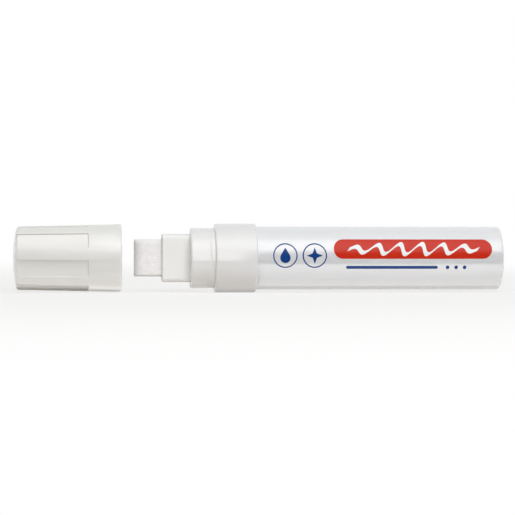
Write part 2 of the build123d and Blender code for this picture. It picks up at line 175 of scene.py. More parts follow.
matt = add_node(tree, "ShaderNodeBsdfDiffuse", {"Color": linear("E8E4DF")})
bright = add_node(tree, "ShaderNodeEmission", {"Color": WHITE, "Strength": 1.0})
mixed = add_node(
    tree,
    "ShaderNodeMixShader",
    None,
    {0: share.outputs[0], 1: matt.outputs[0], 2: bright.outputs[0]},
)
add_node(tree, "ShaderNodeOutputMaterial", None, {"Surface": mixed.outputs[0]})
paper.data.materials.append(paper_finish)

world = bpy.data.worlds.new("white studio")
bpy.context.scene.world = world
tree = empty_tree(world)
dim = add_node(tree, "ShaderNodeBackground", {"Color": WHITE, "Strength": WORLD_GLOW})
bright = add_node(tree, "ShaderNodeBackground", {"Color": WHITE, "Strength": 1.0})
mixed = add_node(
    tree,
    "ShaderNodeMixShader",
    None,
    {0: ground_rays(tree), 1: dim.outputs[0], 2: bright.outputs[0]},
)
add_node(tree, "ShaderNodeOutputWorld", None, {"Surface": mixed.outputs[0]})
print("paper", PAPER_SIZE, "m wide, world at", WORLD_GLOW)

# %% [markdown]
# ## Softbox and low fills
# The main light is a softbox in front of the marker and above it. Its picture in the glossy
# barrel would burn out, so reflections don't see it. Three low, long lamps, one behind the marker
# and one beyond each end, keep the far sides white without touching the side that is seen.


# %% Softbox and low fills
def soft_lamp(name, place, width, height, power):
    """Adds a lamp aimed at the middle of the marker that no view and no reflection shows."""
    bpy.ops.object.select_all(action="DESELECT")
    bpy.ops.object.light_add(type="AREA", location=place)
    lamp = bpy.context.object
    lamp.name = name
    aim = Vector((0.0, 0.0, AXIS_Z)) - lamp.location
    lamp.rotation_euler = aim.to_track_quat("-Z", "Y").to_euler()
    lamp.data.shape = "RECTANGLE"
    lamp.data.size = width
    lamp.data.size_y = height
    lamp.data.energy = power
    lamp.visible_camera = False
    lamp.visible_glossy = False
    print(name, power, "W,", round(aim.length, 2), "m from the marker")
    return lamp


SOFTBOX_PLACE = (0.045, -0.512, 0.491)
FILL_UP = 0.08
FILL_HEIGHT = 0.12
BACK_PLACE = (0.0, 0.60, FILL_UP)
LEFT_PLACE = (-0.70, 0.0, FILL_UP)
RIGHT_PLACE = (0.70, 0.0, FILL_UP)
softbox = soft_lamp("softbox", SOFTBOX_PLACE, width=0.45, height=0.52, power=4.0)
softbox.data.color = linear("FBFCFF")[:3]
soft_lamp("back_fill", BACK_PLACE, width=1.0, height=FILL_HEIGHT, power=2.2)
soft_lamp("left_fill", LEFT_PLACE, width=0.6, height=FILL_HEIGHT, power=0.5)
soft_lamp("right_fill", RIGHT_PLACE, width=0.6, height=FILL_HEIGHT, power=0.4)

# %% [markdown]
# ## Cards and flags
# Gloss tells what stood round the object. The barrel shows a bright band, a darker one under it,
# and is bright again below. A photographer gets that with a white card above, a black flag that
# leans back from the table, and a lit card at the foot. Neck and collar are bright down to the
# middle instead, and the cap only near its top and its foot, so both get cards of their own. A
# tube keeps the sideways slant of a ray that it reflects. So each sheet is as wide as the stretch
# of the marker that should show it, carried out along that slant. Only reflections see sheets.


# %% Sheets that only reflections see
def slanted(x, place):
    """Where a ray that the marker reflects at x, with the view's slant, passes a place (y, z)."""
    reach = math.hypot(place[0], place[1] - AXIS_Z)
    return x + reach * (x - camera_place.x) / abs(camera_place.y)


def reflected_sheet(name, foot, top, stretch, glow):
    """Adds a stage sheet from foot to top, both (y, z), that a stretch of the marker reflects."""
    bpy.ops.object.select_all(action="DESELECT")
    bpy.ops.mesh.primitive_plane_add(size=1.0)
    sheet = bpy.context.object
    sheet.name = name
    corners = [(slanted(x, place), *place) for place in (foot, top) for x in stretch]
    for vertex, corner in zip(sheet.data.vertices, corners):
        vertex.co = corner
    sheet.visible_camera = False
    sheet.visible_diffuse = False
    sheet.visible_shadow = False
    finish = bpy.data.materials.new(name)
    tree = empty_tree(finish)
    light = add_node(tree, "ShaderNodeEmission", {"Color": WHITE, "Strength": glow})
    add_node(tree, "ShaderNodeOutputMaterial", None, {"Surface": light.outputs[0]})
    sheet.data.materials.append(finish)
    print(name, "glows at", glow, "for x from", [round(x / MM, 1) for x in stretch])


# %% Cards and flags
neck_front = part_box("neck")[0].x
collar_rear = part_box("collar")[1].x
cap_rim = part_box("cap_shell")[1].x
nib_middle = (cap_rim + neck_front) / 2
BEYOND_CAP = -0.28
BEYOND_TAIL = 0.32
WHITE_CARD_END = 0.104
NECK_CARD_SHORT = 7 * MM
TABLE_UP = 0.5 * MM
SHEET_GAP = 0.2 * MM
CAP_TABLE_UP = TABLE_UP + SHEET_GAP
BLACK = 0.06
neck_stretch = (neck_front, collar_rear - NECK_CARD_SHORT)
cap_stretch = (BEYOND_CAP, nib_middle)
# The near or lower edge of each sheet and the other one, as (y, z).
white_foot, white_top = (-0.646, 0.389), (-0.244, 0.719)
flag_foot, flag_top = (-0.042, 0.001), (-1.0, 0.44)
table_foot, table_top = (-0.043, TABLE_UP), (-0.005, TABLE_UP)
neck_foot, neck_top = (-0.0535, 0.0075), (-1.0, 0.442)
cap_foot, cap_top = (-0.552, 0.445), (-0.061, 0.711)
cap_table_foot, cap_table_top = (-0.018, CAP_TABLE_UP), (-0.0045, CAP_TABLE_UP)
# Each sheet glows and lights nothing, so what it adds is a painted reflection, bright or dark, seen
# only in gloss.
reflected_sheet("white_card", white_foot, white_top, (nib_middle, WHITE_CARD_END), glow=1.55)
reflected_sheet("black_flag", flag_foot, flag_top, (BEYOND_CAP, BEYOND_TAIL), glow=BLACK)
reflected_sheet("barrel_table", table_foot, table_top, (collar_rear, BEYOND_TAIL), glow=1.45)
reflected_sheet("satin_table", table_foot, table_top, (BEYOND_CAP, collar_rear), glow=1.0)
# The neck's card lies on the flag and ends short of the collar's rear, so the barrel misses it.
reflected_sheet("neck_card", neck_foot, neck_top, neck_stretch, glow=2.5)
reflected_sheet("cap_flag", flag_top, cap_foot, cap_stretch, glow=BLACK)
reflected_sheet("cap_card", cap_foot, cap_top, cap_stretch, glow=2.0)
reflected_sheet("cap_table", cap_table_foot, cap_table_top, cap_stretch, glow=2.1)

# %% [markdown]
# ## Modelling helpers
# Edit-mode tools act on what is selected. By hand that is a click or a box select; in a script it
# is a test on the place of each vertex, edge or face. A second helper adds a modifier, sets it
# and applies it, and a third ties a finished piece to the CAD. Points within a touch of each
# other, a thousandth of a millimetre, count as one.

# %% Modelling helpers
TOUCH = 1e-6
SOFT_ANGLE = math.radians(30)
SHARP_ANGLE = math.radians(40)
CORNER_SEGMENTS = 6


def pick(piece, kind, test):
    """In edit mode, selects only the elements of one kind whose corner points pass the test."""
    bpy.ops.mesh.select_mode(type=kind)
    bpy.ops.mesh.select_all(action="DESELECT")
    shape = bmesh.from_edit_mesh(piece.data)
    for element in {"VERT": shape.verts, "EDGE": shape.edges, "FACE": shape.faces}[kind]:
        points = [element.co] if kind == "VERT" else [corner.co for corner in element.verts]
        if test(points):
            element.select_set(True)
    bmesh.update_edit_mesh(piece.data)


def apply_modifier(piece, kind, settings):
    """Adds a modifier to a piece, sets it up and applies it."""
    bpy.ops.object.select_all(action="DESELECT")
    piece.select_set(True)
    bpy.context.view_layer.objects.active = piece
    bpy.ops.object.modifier_add(type=kind)
    modifier = piece.modifiers[-1]
    for key, value in settings.items():
        setattr(modifier, key, value)
    bpy.ops.object.modifier_apply(modifier=modifier.name)


def tie(piece, body, slot, *replaced):
    """Makes a finished piece ride on its CAD body and stand for the CAD nodes it replaces."""
    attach(piece, body)
    if replaced:
        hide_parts(*replaced)
    print(piece.name, "on", body, "with", len(piece.data.polygons), "faces")


# %% [markdown]
# ## Felt nib
# The nib is a bar of pressed polyester fibre, ground to a rounded chisel. Its shape could be
# lofted, but a hand would start from a block: round the long edges, cut rings near the front and
# squeeze each ring to the nose's thickness. Felt has no crisp edges, so the block is remeshed
# finely, smoothed, and pushed in and out by two sizes of lumps, well within the play it has in
# its slot.

# %% Nib block with a rounded chisel nose
NIB_CORNER = 1.5 * MM
NOSE_LENGTH = 3.8 * MM
NOSE_RADIUS = 4.75 * MM
NOSE_RINGS = 8
nib_low, nib_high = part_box("nib")
nib_size = nib_high - nib_low
bpy.ops.object.select_all(action="DESELECT")
bpy.ops.mesh.primitive_cube_add(size=1, location=(nib_low + nib_high) / 2, scale=nib_size)
felt_nib = bpy.context.object
felt_nib.name = "felt_nib"
bpy.ops.object.transform_apply(location=True, rotation=True, scale=True)
bpy.ops.object.mode_set(mode="EDIT")
pick(felt_nib, "EDGE", lambda points: abs(points[0].x - points[1].x) > nib_size.x / 2)
bpy.ops.mesh.bevel(offset=NIB_CORNER, segments=CORNER_SEGMENTS, affect="EDGES")
nose_stations = [NOSE_LENGTH * ring / NOSE_RINGS for ring in range(NOSE_RINGS)]
for station in nose_stations[1:] + [NOSE_LENGTH]:
    bpy.ops.mesh.select_all(action="SELECT")
    bpy.ops.mesh.bisect(plane_co=(nib_low.x + station, 0, 0), plane_no=(1, 0, 0))
for station in nose_stations:
    ring_x = nib_low.x + station
    fall = NOSE_RADIUS - math.sqrt(NOSE_RADIUS**2 - (NOSE_LENGTH - station) ** 2)
    squeeze = 1 - 2 * fall / nib_size.y
    pick(felt_nib, "VERT", lambda points: abs(points[0].x - ring_x) < TOUCH)
    bpy.ops.transform.resize(value=(1, squeeze, 1), center_override=(ring_x, 0, AXIS_Z))
bpy.ops.object.mode_set(mode="OBJECT")
print("nib nose with", NOSE_RINGS, "rings over", round(NOSE_LENGTH / MM, 1), "mm")

# %% Felt lumps on the nib
FELT_VOXEL = 0.2 * MM
BIG_LUMPS, BIG_HEIGHT = 1.1 * MM, 0.05 * MM
SMALL_LUMPS, SMALL_HEIGHT = 0.45 * MM, 0.035 * MM
apply_modifier(felt_nib, "REMESH", {"mode": "VOXEL", "voxel_size": FELT_VOXEL})
apply_modifier(felt_nib, "SMOOTH", {"factor": 0.5, "iterations": 4})
for size, height in ((BIG_LUMPS, BIG_HEIGHT), (SMALL_LUMPS, SMALL_HEIGHT)):
    lumps = bpy.data.textures.new("felt lumps", "CLOUDS")
    lumps.noise_scale = size
    apply_modifier(felt_nib, "DISPLACE", {"texture": lumps, "strength": height, "mid_level": 0.5})
bpy.ops.object.shade_smooth()
tie(felt_nib, "nib_unit", "nib_felt", "nib")

# %% [markdown]
# ## Turned pieces
# Barrel and cap are bodies of revolution. By hand they are drawn as half a section, one vertex
# extruded from corner to corner, with the corners then rounded by a vertex bevel. Spin turns the
# section round the marker's axis. Spin leaves a double seam and poles on the axis, so doubles are
# merged and the normals are turned outwards. Sections are written in millimetres.


# %% Lathe helper
def lathe(name, section, rounds, steps, start=0.0):
    """Spins half a section of (x, radius) corners in mm, drawn at an angle from straight up."""
    across = Vector((0, -math.sin(start), math.cos(start)))

    def point(x, radius):
        return Vector((x * MM, 0, AXIS_Z)) + across * radius * MM

    bpy.ops.object.select_all(action="DESELECT")
    bpy.ops.mesh.primitive_plane_add(size=MM, location=point(*section[0]))
    piece = bpy.context.object
    piece.name = name
    bpy.ops.object.transform_apply(location=True, rotation=True, scale=True)
    bpy.ops.object.mode_set(mode="EDIT")
    bpy.ops.mesh.merge(type="CENTER")
    for corner, following in zip(section, section[1:]):
        step = point(*following) - point(*corner)
        bpy.ops.mesh.extrude_vertices_move(TRANSFORM_OT_translate={"value": step})
    for corner, radius in rounds.items():
        pick(piece, "VERT", lambda points: (points[0] - point(*corner)).length < TOUCH)
        bpy.ops.mesh.bevel(offset=radius * MM, segments=CORNER_SEGMENTS, affect="VERTICES")
    bpy.ops.mesh.select_all(action="SELECT")
    bpy.ops.mesh.spin(steps=steps, angle=math.tau, center=(0, 0, AXIS_Z), axis=(1, 0, 0))
    bpy.ops.mesh.select_all(action="SELECT")
    bpy.ops.mesh.remove_doubles(threshold=TOUCH)
    bpy.ops.mesh.normals_make_consistent(inside=False)
    bpy.ops.object.mode_set(mode="OBJECT")
    bpy.ops.object.shade_smooth_by_angle(angle=SOFT_ANGLE)
    return piece


# %% [markdown]
# ## Barrel
# The barrel is a glossy tube with a closed, flat tail. The CAD barrel has the right form, but a
# real one also shows how it was moulded: a small dimple at the middle of the tail where the
# plastic was fed in, and a fine ring round it. Both are cut into the section before it is spun.
# One more ring next to the rounded tail edge keeps the smooth shading of the long wall straight.

# %% Sizes of the barrel
# All in millimetres, as the lathe takes them.
BARREL_WALL = 1.3
BARREL_RECESS = 0.15
TAIL_WALL = 1.6
TAIL_EDGE = 0.8
TAIL_HOLD = 1.2
TANK_CORNER = 1.5
BEAD_BACK = 5.5
BEAD_HALF = 0.8
BEAD_HEIGHT = 0.25
FEED_DEPTH = 0.25
FEED_FLOOR = 0.9
FEED_EDGE = 1.3
TAIL_RING = 9.0
TAIL_RING_CUT = 0.2
barrel_low, barrel_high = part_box("barrel")
TAIL = barrel_high.x / MM
FRONT = barrel_low.x / MM
COLLAR_REAR = collar_rear / MM
BARREL_RADIUS = (barrel_high.z - barrel_low.z) / 2 / MM
RECESS_RADIUS = BARREL_RADIUS - BARREL_RECESS
TANK_RADIUS = BARREL_RADIUS - BARREL_WALL
TANK_END = TAIL - TAIL_WALL
BEAD = FRONT + BEAD_BACK
print("barrel", round(TAIL - FRONT, 1), "mm long, radius", round(BARREL_RADIUS, 2), "mm")

# %% Barrel
BARREL_STEPS = 192
barrel_section = [
    (TAIL - FEED_DEPTH, 0.0),
    (TAIL - FEED_DEPTH, FEED_FLOOR),
    (TAIL, FEED_EDGE),
    (TAIL, TAIL_RING - TAIL_RING_CUT),
    (TAIL - TAIL_RING_CUT, TAIL_RING),
    (TAIL, TAIL_RING + TAIL_RING_CUT),
    (TAIL, BARREL_RADIUS),
    (TAIL - TAIL_HOLD, BARREL_RADIUS),
    (COLLAR_REAR, BARREL_RADIUS),
    (COLLAR_REAR, RECESS_RADIUS),
    (BEAD + BEAD_HALF, RECESS_RADIUS),
    (BEAD, RECESS_RADIUS + BEAD_HEIGHT),
    (BEAD - BEAD_HALF, RECESS_RADIUS),
    (FRONT, RECESS_RADIUS),
    (FRONT, TANK_RADIUS),
    (TANK_END, TANK_RADIUS),
    (TANK_END, 0.0),
]
barrel_rounds = {(TAIL, BARREL_RADIUS): TAIL_EDGE, (TANK_END, TANK_RADIUS): TANK_CORNER}
barrel = lathe("barrel_tube", barrel_section, barrel_rounds, BARREL_STEPS)
tie(barrel, "marker", "barrel_plastic", "barrel")

# %% [markdown]
# ## Cap
# The cap is a tapered cup with a crowned end and seven flat finger panels sunk into it, each
# running out over a bevel at that end. The cup is spun like the barrel, with a feed dimple like
# the tail's, and the crown is drawn as a few points on an arc. One cutter is modelled from a
# cube, by moving its edges and extruding its end, and turned into seven copies that a Boolean
# takes away. Moulds have no knife edges, so a fine bevel softens every edge that is left.

# %% Sizes of the cap
# All in millimetres, as the lathe takes them.
CAP_CROWN = 1.6
CAP_TAPER = 0.85
CAP_WALL = 1.2
CAP_END_WALL = 1.8
CAP_END_EDGE = 1.0
CAP_RIM_EDGE = 0.75
CAP_LEAD_IN = 0.35
LINER_STEP = 1.4
LINER_FLANGE = 1.2
SNAP_BACK = 1.7
SNAP_HALF = 0.5
SNAP_HEIGHT = 0.18
cap_low, cap_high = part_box("cap_shell")
CAP_END = cap_low.x / MM
CAP_RIM = cap_high.x / MM
CAP_SIDE = CAP_END + CAP_CROWN
CAP_FLOOR = CAP_SIDE + CAP_END_WALL
RIM_RADIUS = (cap_high.z - cap_low.z) / 2 / MM
END_RADIUS = RIM_RADIUS - CAP_TAPER
CAP_BORE = RIM_RADIUS - CAP_WALL
LINER_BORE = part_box("inner_cap")[1].z / MM - AXIS_Z / MM - LINER_STEP
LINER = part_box("cap_seal")[0].x / MM - LINER_FLANGE
SNAP = CAP_RIM - SNAP_BACK
print("cap", round(CAP_RIM - CAP_END, 1), "mm long, radius", round(RIM_RADIUS, 2), "mm at its rim")

# %% Cap cup
CROWN_RINGS = 6
CROWN_DIP = 0.01
crown_radius = (CAP_CROWN**2 + END_RADIUS**2) / (2 * CAP_CROWN)
crown = []
for ring in range(1, CROWN_RINGS):
    radius = END_RADIUS * ring / CROWN_RINGS
    crown.append((CAP_END + crown_radius - math.sqrt(crown_radius**2 - radius**2), radius))
cap_section = [
    (CAP_END + FEED_DEPTH, 0.0),
    (CAP_END + FEED_DEPTH, FEED_FLOOR),
    (CAP_END + CROWN_DIP, FEED_EDGE),
    *crown,
    (CAP_SIDE, END_RADIUS),
    (CAP_RIM, RIM_RADIUS),
    (CAP_RIM, CAP_BORE + CAP_LEAD_IN),
    (CAP_RIM - CAP_LEAD_IN, CAP_BORE),
    (SNAP + SNAP_HALF, CAP_BORE),
    (SNAP, CAP_BORE - SNAP_HEIGHT),
    (SNAP - SNAP_HALF, CAP_BORE),
    (LINER, CAP_BORE),
    (LINER, LINER_BORE),
    (CAP_FLOOR, LINER_BORE),
    (CAP_FLOOR, 0.0),
]
cap_rounds = {(CAP_SIDE, END_RADIUS): CAP_END_EDGE, (CAP_RIM, RIM_RADIUS): CAP_RIM_EDGE}
PANELS = 7
STEPS_PER_PANEL = 20
FIRST_PANEL = math.radians(56)
CAP_STEPS = STEPS_PER_PANEL * PANELS
half_step = math.pi / CAP_STEPS
cap = lathe("moulded_cap", cap_section, cap_rounds, CAP_STEPS, start=FIRST_PANEL + half_step)
print("cap cup with", len(cap.data.polygons), "faces")

# %% Finger panel cutter
PANEL_WIDTH = 7.0
PANEL_LENGTH = 28.4
PANEL_BEVEL = 0.5
PANEL_DEPTH = 0.6
PANEL_RISE = 1.69
PANEL_OVERRUN = 2 * CAP_CROWN
END_LEAN = math.tan(math.radians(20))
PANEL_FLOOR = math.sqrt(END_RADIUS**2 - (PANEL_WIDTH / 2) ** 2) - PANEL_DEPTH
cap_slope = (RIM_RADIUS - END_RADIUS) / (CAP_RIM - CAP_SIDE)
bevel_lift = PANEL_BEVEL * cap_slope
floor_lift = PANEL_LENGTH * cap_slope
cutter_top = floor_lift + PANEL_RISE
cutter_start = (CAP_SIDE + PANEL_BEVEL) * MM
cutter_length = (PANEL_LENGTH - PANEL_BEVEL) * MM
cutter_half = cutter_start + cutter_length / 2
cutter_middle = (PANEL_FLOOR + cutter_top / 2) * MM
bpy.ops.object.select_all(action="DESELECT")
bpy.ops.mesh.primitive_cube_add(
    size=1,
    location=(cutter_half, 0, cutter_middle),
    scale=(cutter_length, PANEL_WIDTH * MM, cutter_top * MM),
)
cutter = bpy.context.object
bpy.ops.object.transform_apply(location=True, rotation=True, scale=True)


def pick_end(tail_side, high, kind="EDGE"):
    """Selects the cutter's cross edge at one end, above or below its middle, or the whole end."""
    pick(
        cutter,
        kind,
        lambda points: all(
            (p.x > cutter_half) == tail_side and (kind == "FACE" or (p.z > cutter_middle) == high)
            for p in points
        ),
    )


bpy.ops.object.mode_set(mode="EDIT")
pick_end(True, False)
bpy.ops.transform.translate(value=(0, 0, floor_lift * MM))
pick_end(True, True)
bpy.ops.transform.translate(value=(PANEL_RISE * END_LEAN * MM, 0, 0))
pick_end(False, False)
bpy.ops.transform.translate(value=(0, 0, bevel_lift * MM))
pick_end(False, True, "FACE")
overshoot = (PANEL_BEVEL + PANEL_OVERRUN) * MM
bpy.ops.mesh.extrude_region_move(TRANSFORM_OT_translate={"value": (-overshoot, 0, 0)})
low_end = cutter_start - overshoot / 2
pick(cutter, "EDGE", lambda points: all(p.x < low_end and p.z < cutter_middle for p in points))
bpy.ops.transform.translate(value=(0, 0, -overshoot))
bpy.ops.object.mode_set(mode="OBJECT")
print("panel cutter", PANEL_LENGTH, "by", PANEL_WIDTH, "mm, floor at radius", round(PANEL_FLOOR, 2))

# %% Seven panels and soft edges
PANEL_TURN = math.tau / PANELS
MOULD_EDGE = 0.12 * MM
cutters = [cutter]
for _ in range(PANELS - 1):
    bpy.ops.object.select_all(action="DESELECT")
    cutter.select_set(True)
    bpy.context.view_layer.objects.active = cutter
    bpy.ops.object.duplicate(linked=False)
    cutters.append(bpy.context.object)
bpy.ops.object.select_all(action="DESELECT")
for number, copy in enumerate(cutters):
    copy.location.z = AXIS_Z
    copy.rotation_euler.x = FIRST_PANEL + number * PANEL_TURN
    copy.select_set(True)
bpy.context.view_layer.objects.active = cutter
bpy.ops.object.join()
apply_modifier(cap, "BOOLEAN", {"operation": "DIFFERENCE", "object": cutter, "solver": "EXACT"})
bpy.ops.object.select_all(action="DESELECT")
cutter.select_set(True)
bpy.ops.object.delete()
apply_modifier(
    cap,
    "BEVEL",
    {"width": MOULD_EDGE, "segments": 2, "limit_method": "ANGLE", "angle_limit": SHARP_ANGLE},
)
bpy.ops.object.shade_smooth_by_angle(angle=SOFT_ANGLE)
tie(cap, "cap", "cap_plastic", "cap_shell")

# %% [markdown]
# ## Valve spring
# Inside the marker a coil of steel wire keeps the valve shut, and pressing the nib squeezes it. A
# bevelled curve could make the coil, but the Screw modifier needs only the round section of the
# wire: it carries that round the axis and on by one pitch a turn. The open ends are then filled.

# %% Valve spring
SPRING_TURNS = 5
STEPS_PER_TURN = 40
WIRE = 0.6 * MM
WIRE_SIDES = 14
spring_low, spring_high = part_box("valve_spring")
coil_radius = (spring_high.z - spring_low.z - WIRE) / 2
coil_length = spring_high.x - spring_low.x
bpy.ops.object.select_all(action="DESELECT")
bpy.ops.mesh.primitive_circle_add(
    vertices=WIRE_SIDES, radius=WIRE / 2, location=(spring_low.x + WIRE / 2, coil_radius, 0)
)
spring = bpy.context.object
spring.name = "spring_coil"
bpy.ops.object.transform_apply(location=True, rotation=True, scale=True)
apply_modifier(
    spring,
    "SCREW",
    {
        "axis": "X",
        "screw_offset": (coil_length - WIRE) / SPRING_TURNS,
        "iterations": SPRING_TURNS,
        "steps": STEPS_PER_TURN,
        "render_steps": STEPS_PER_TURN,
    },
)
bpy.ops.object.mode_set(mode="EDIT")
bpy.ops.mesh.select_all(action="SELECT")
bpy.ops.mesh.fill_holes(sides=0)
bpy.ops.mesh.select_all(action="SELECT")
bpy.ops.mesh.normals_make_consistent(inside=False)
bpy.ops.object.mode_set(mode="OBJECT")
spring.location.z = AXIS_Z
bpy.ops.object.transform_apply(location=True, rotation=True, scale=True)
bpy.ops.object.shade_smooth_by_angle(angle=SHARP_ANGLE)
tie(spring, "marker", "valve_steel", "valve_spring")
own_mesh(spring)

# %% [markdown]
# ## Print on the barrel
# The barrel carries a coloured print. Here it is a plain design: two ringed signs, a drop for
# liquid and a star for a clean board, then a red bar with a white chalk stroke, and a blue rule
# with three dots. A print could be an image, but thin pieces of ink keep sharp edges at any size.
# Each sign is drawn flat in front of the barrel, cut into strips so that it can curve, laid on
# the barrel by Shrinkwrap and made as thick as ink by Solidify. It sinks in a bit, so none floats.

# %% Print helpers
UPRIGHT = (math.pi / 2, 0, 0)
DRAWING_GAP = 1.0
DRAWING_Y = -(BARREL_RADIUS + DRAWING_GAP) * MM
STRIP = 0.5 * MM
INK_FILM = 0.03 * MM
INK_RISE = 0.02 * MM
END_ROUND = 0.49


def start_sign(x, up, width, height, corners=0):
    """Adds an upright plane before the barrel, or a disc of so many corners, with sizes in mm."""
    bpy.ops.object.select_all(action="DESELECT")
    spot = (x * MM, DRAWING_Y, AXIS_Z + up * MM)
    if corners:
        bpy.ops.mesh.primitive_circle_add(
            vertices=corners, radius=0.5, fill_type="NGON", location=spot, rotation=UPRIGHT
        )
    else:
        bpy.ops.mesh.primitive_plane_add(size=1, location=spot, rotation=UPRIGHT)
    sign = bpy.context.object
    sign.scale = (width * MM, height * MM, 1)
    bpy.ops.object.transform_apply(location=True, rotation=True, scale=True)
    return sign


def round_ends(height, segments):
    """Rounds the corners of the sign just added by almost half its height in mm."""
    bpy.ops.object.mode_set(mode="EDIT")
    bpy.ops.mesh.select_all(action="SELECT")
    bpy.ops.mesh.bevel(offset=height * END_ROUND * MM, segments=segments, affect="VERTICES")
    bpy.ops.object.mode_set(mode="OBJECT")


def lay_on_barrel(name, signs, slot, rise):
    """Joins flat signs, cuts them into strips and lays them on the barrel as one film of ink."""
    bpy.ops.object.select_all(action="DESELECT")
    for sign in signs:
        sign.select_set(True)
    bpy.context.view_layer.objects.active = signs[0]
    if len(signs) > 1:
        bpy.ops.object.join()
    ink = signs[0]
    ink.name = name
    heights = [vertex.co.z for vertex in ink.data.vertices]
    bpy.ops.object.mode_set(mode="EDIT")
    for cut in range(1, math.ceil((max(heights) - min(heights)) / STRIP)):
        bpy.ops.mesh.select_all(action="SELECT")
        bpy.ops.mesh.bisect(plane_co=(0, 0, min(heights) + cut * STRIP), plane_no=(0, 0, 1))
    bpy.ops.object.mode_set(mode="OBJECT")
    apply_modifier(
        ink,
        "SHRINKWRAP",
        {
            "target": barrel,
            "wrap_method": "PROJECT",
            "wrap_mode": "ABOVE_SURFACE",
            "use_project_y": True,
            "use_positive_direction": True,
            "offset": rise,
        },
    )
    apply_modifier(ink, "SOLIDIFY", {"thickness": INK_FILM, "offset": -1})
    bpy.ops.object.shade_smooth_by_angle(angle=SOFT_ANGLE)
    tie(ink, "marker", slot)
    return ink


print("ink film", round(INK_FILM / MM, 3), "mm, cut into strips of", STRIP / MM, "mm")

# %% Ringed signs
# Places and sizes of signs are millimetres, up from the marker's axis.
RING_WIDTH = 9.9
RING_LINE = 0.5
RING_UP = 1.35
DROP_X = 9.85
DROP_DOWN = 0.9
DROP_UP = RING_UP - DROP_DOWN
DROP_WIDTH = 4.2
DROP_PULL = 2.0
DROP_SOFTNESS = 2.4
STAR_X = 21.75
STAR_WIDTH = 6.6
STAR_WAIST = 0.38
rings = []
for ring_x in (DROP_X, STAR_X):
    ring = start_sign(ring_x, RING_UP, RING_WIDTH, RING_WIDTH, corners=64)
    bpy.ops.object.mode_set(mode="EDIT")
    bpy.ops.mesh.select_all(action="SELECT")
    bpy.ops.mesh.inset(thickness=RING_LINE * MM)
    bpy.ops.mesh.delete(type="FACE")
    bpy.ops.object.mode_set(mode="OBJECT")
    rings.append(ring)

drop = start_sign(DROP_X, DROP_UP, DROP_WIDTH, DROP_WIDTH, corners=32)
drop_top = AXIS_Z + (DROP_UP + DROP_WIDTH / 2) * MM
bpy.ops.object.mode_set(mode="EDIT")
pick(drop, "VERT", lambda points: points[0].z > drop_top - TOUCH)
bpy.ops.transform.translate(
    value=(0, 0, DROP_PULL * MM),
    use_proportional_edit=True,
    proportional_edit_falloff="SHARP",
    proportional_size=DROP_SOFTNESS * MM,
)
bpy.ops.object.mode_set(mode="OBJECT")

star = start_sign(STAR_X, RING_UP, STAR_WIDTH, STAR_WIDTH, corners=8)
star_middle = Vector((STAR_X * MM, DRAWING_Y, AXIS_Z + RING_UP * MM))
bpy.ops.object.mode_set(mode="EDIT")
pick(
    star,
    "VERT",
    lambda points: min(abs(points[0].x - star_middle.x), abs(points[0].z - star_middle.z)) > TOUCH,
)
bpy.ops.transform.resize(value=(STAR_WAIST, 1, STAR_WAIST), center_override=star_middle)
bpy.ops.object.mode_set(mode="OBJECT")
ringed_signs = lay_on_barrel("ringed_signs", [*rings, drop, star], "blue_print", INK_RISE)

# %% Red bar
BAR_LEFT, BAR_RIGHT = 29.5, 94.3
BAR_LOW, BAR_HIGH = 0.05, 7.85
BAR_MIDDLE = (BAR_LOW + BAR_HIGH) / 2
BAR_HEIGHT = BAR_HIGH - BAR_LOW
bar = start_sign((BAR_LEFT + BAR_RIGHT) / 2, BAR_MIDDLE, BAR_RIGHT - BAR_LEFT, BAR_HEIGHT)
round_ends(BAR_HEIGHT, segments=12)
red_bar = lay_on_barrel("red_bar", [bar], "red_print", INK_RISE)

# %% Chalk stroke
STROKE_LEFT, STROKE_RIGHT = 35.0, 88.0
STROKE_WAVES = 6
STROKE_SWING = 2.1
STROKE_TAPER = 0.4
STROKE_LEAN = 0.5
STROKE_DOWN = 0.8
STROKE_POINTS = 144
NIB_SLANT = Vector((1.2, 0, 1.6)) * MM


def stroke_point(step):
    """Point of the chalk stroke, a leaning wave that grows from one end and fades at the other."""
    share = step / STROKE_POINTS
    swing = STROKE_SWING * math.sin(math.pi * share) ** STROKE_TAPER if 0 < share < 1 else 0.0
    wave = swing * math.sin(share * STROKE_WAVES * math.tau)
    x = STROKE_LEFT + share * (STROKE_RIGHT - STROKE_LEFT) + STROKE_LEAN * wave
    up = BAR_MIDDLE - STROKE_DOWN + wave
    return Vector((x * MM, DRAWING_Y, AXIS_Z + up * MM))


bpy.ops.object.select_all(action="DESELECT")
bpy.ops.mesh.primitive_plane_add(size=MM, location=stroke_point(0))
stroke = bpy.context.object
bpy.ops.object.transform_apply(location=True, rotation=True, scale=True)
bpy.ops.object.mode_set(mode="EDIT")
bpy.ops.mesh.merge(type="CENTER")
for step in range(STROKE_POINTS):
    move = stroke_point(step + 1) - stroke_point(step)
    bpy.ops.mesh.extrude_vertices_move(TRANSFORM_OT_translate={"value": move})
bpy.ops.mesh.select_all(action="SELECT")
bpy.ops.mesh.extrude_edges_move(TRANSFORM_OT_translate={"value": NIB_SLANT})
bpy.ops.mesh.select_all(action="SELECT")
bpy.ops.mesh.normals_make_consistent(inside=False)
bpy.ops.object.mode_set(mode="OBJECT")
if stroke.data.polygons[0].normal.y > 0:
    bpy.ops.object.mode_set(mode="EDIT")
    bpy.ops.mesh.flip_normals()
    bpy.ops.object.mode_set(mode="OBJECT")
chalk_stroke = lay_on_barrel("chalk_stroke", [stroke], "white_print", 2 * INK_RISE)

